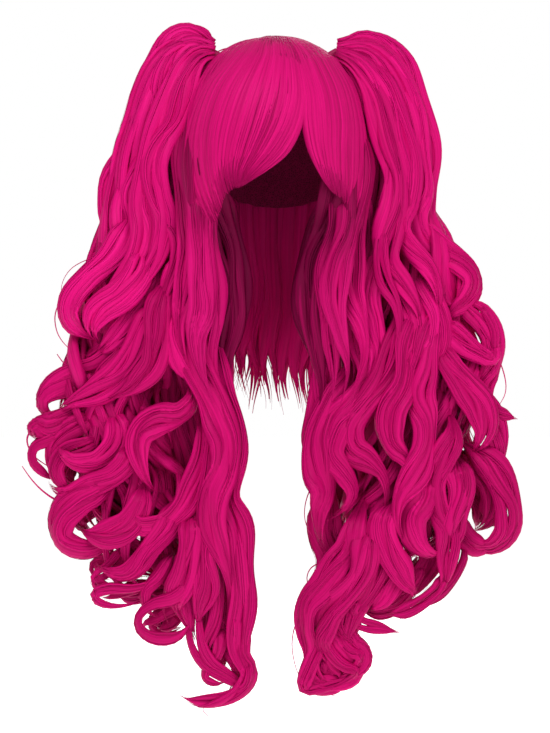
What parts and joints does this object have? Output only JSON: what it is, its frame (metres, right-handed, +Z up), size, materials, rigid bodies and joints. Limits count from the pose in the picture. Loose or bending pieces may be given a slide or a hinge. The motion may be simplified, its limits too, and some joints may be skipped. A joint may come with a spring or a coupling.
{
  "type": "pigtail wig",
  "caption": "Long curly wig on a net cap: swept fringe, wavy locks beside the face, back hair, and high clip-on pigtails that spread into loose curls.",
  "frame": {"origin": "inside of the cap's crown, where the top of the head rests", "axes": "+Z up, the face looks along -Y, +X to the wearer's left"},
  "size_m": [0.499, 0.2325, 0.7178],
  "materials": {
    "hair": "smooth synthetic hair in hot pink, soft satin shine along the strands",
    "cap_net": "matt stretch net in a darker pink",
    "clip_plastic": "plain moulded plastic"
  },
  "bodies": {
    "root": {"wig_cap": "cap_net", "crown_hair": "hair", "fringe_left": "hair", "fringe_right": "hair", "side_lock_left": "hair", "side_lock_right": "hair", "back_hair": "hair", "clip_left": "clip_plastic", "clip_right": "clip_plastic", "pigtail_left": "hair", "pigtail_right": "hair"}
  },
  "joints": []
}
